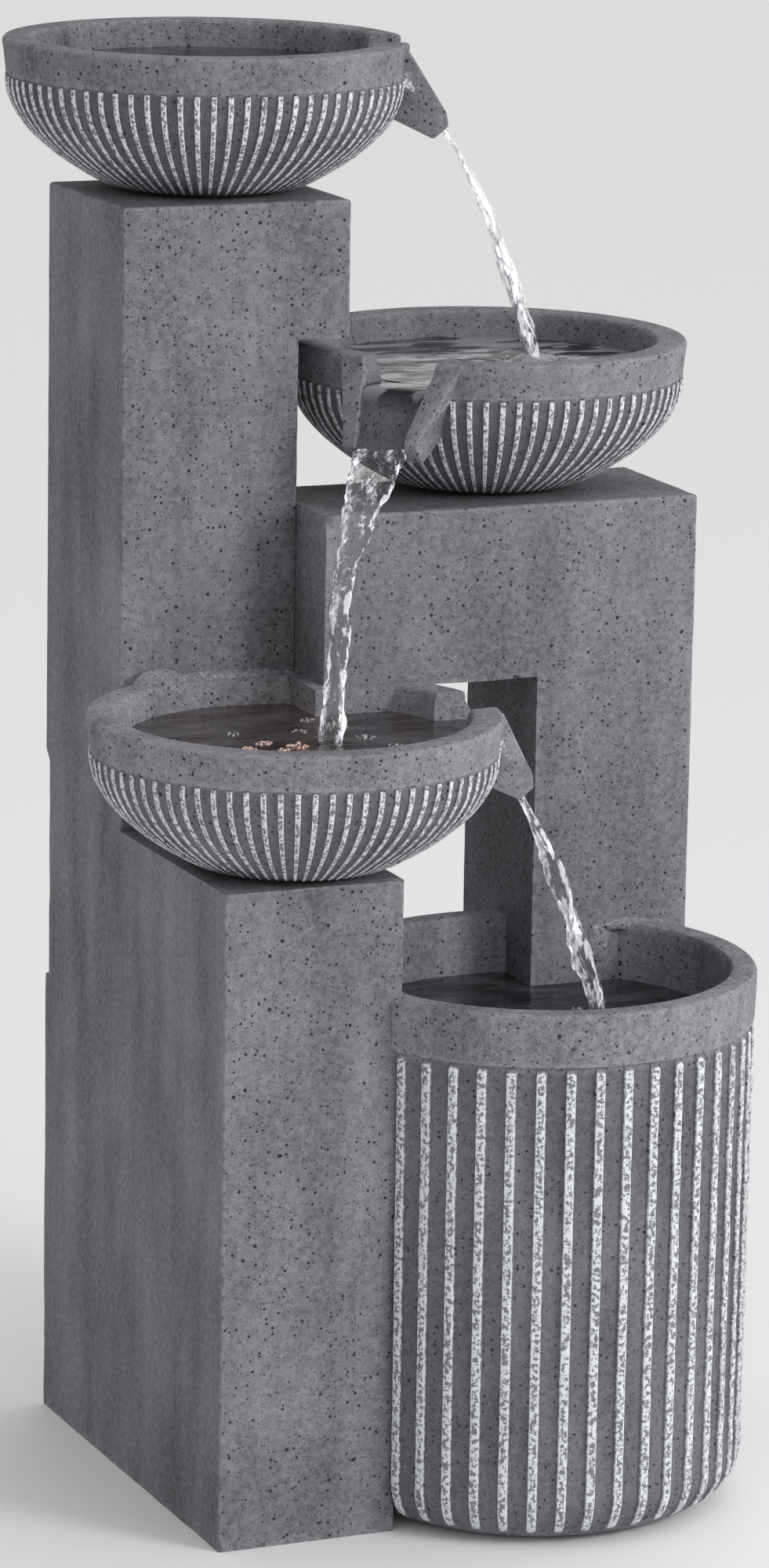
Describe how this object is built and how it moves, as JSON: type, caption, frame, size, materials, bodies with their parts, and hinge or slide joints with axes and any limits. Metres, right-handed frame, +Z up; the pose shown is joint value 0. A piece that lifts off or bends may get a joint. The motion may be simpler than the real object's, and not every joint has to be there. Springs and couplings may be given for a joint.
{
  "type": "cascading bowl fountain",
  "caption": "Floor-standing cascading fountain: three ribbed bowls on square cast pillars pour into one another and into a ribbed round basin, with a submersible pump, riser hose and lamp inside",
  "frame": {"origin": "middle of the footprint's bounding box, on the ground", "axes": "+Z up, +X to the right of the front, +Y to the back"},
  "size_m": [0.512, 0.532, 1.03],
  "materials": {
    "cast_block": "matt charcoal cast stone with fine pits and pale streaks",
    "ribbed_cast": "ribbed charcoal cast stone, crests rubbed with pale grey",
    "adhesive": "grey bedding mastic",
    "panel": "moulded charcoal cover, slightly textured",
    "seal_rubber": "black moulded rubber",
    "pump_plastic": "black ABS",
    "dial_plastic": "black ABS with a grip edge",
    "impeller_plastic": "white moulded plastic",
    "magnet": "dark ferrite",
    "steel": "stainless steel",
    "hose": "dark flexible vinyl",
    "fitting_plastic": "black nylon",
    "board": "green circuit board",
    "lens": "warm clear lens",
    "plug_rubber": "black rubber bung"
  },
  "bodies": {
    "fountain": {"column_tower": "cast_block", "arch_wall": "cast_block", "catch_basin": "ribbed_cast", "top_bowl": "ribbed_cast", "middle_bowl": "ribbed_cast", "lower_bowl": "ribbed_cast", "adhesive_beds": "adhesive", "pump_housing": "pump_plastic", "pump_volute_cover": "pump_plastic", "rotor_shaft": "steel", "shaft_bushes": "seal_rubber", "cover_screws": "steel", "suction_cups": "seal_rubber", "riser_hose": "hose", "hose_clamps": "steel", "hose_grommet": "seal_rubber", "inlet_fitting": "fitting_plastic", "inlet_gasket": "seal_rubber", "inlet_locknut": "fitting_plastic", "light_housing": "fitting_plastic", "light_board": "board", "light_lens": "lens", "light_gland": "fitting_plastic", "gland_locknut": "fitting_plastic", "cable_grommet": "seal_rubber"},
    "access_panel": {"access_panel": "panel", "panel_gasket": "seal_rubber"},
    "drain_plug": {"drain_plug": "plug_rubber"},
    "strainer": {"pump_strainer": "pump_plastic"},
    "flow_dial": {"flow_dial": "dial_plastic"},
    "impeller": {"pump_impeller": "impeller_plastic", "rotor_magnet": "magnet"}
  },
  "joints": [
    {"name": "panel_lift_off", "type": "slide", "parent": "fountain", "child": "access_panel", "axis": [0, 1, 0], "range_m": [0, 0.08]},
    {"name": "plug_pull", "type": "slide", "parent": "fountain", "child": "drain_plug", "axis": [0, 1, 0], "range_m": [0, 0.04]},
    {"name": "strainer_pull", "type": "slide", "parent": "fountain", "child": "strainer", "axis": [0, -1, 0], "range_m": [0, 0.04]},
    {"name": "dial_turn", "type": "hinge", "parent": "strainer", "child": "flow_dial", "pos_m": [0.044, -0.12, 0.055], "axis": [0, 1, 0], "range_deg": [0, 90]},
    {"name": "rotor_spin", "type": "hinge", "parent": "fountain", "child": "impeller", "pos_m": [0.044, -0.082, 0.055], "axis": [0, 1, 0], "continuous": true}
  ]
}
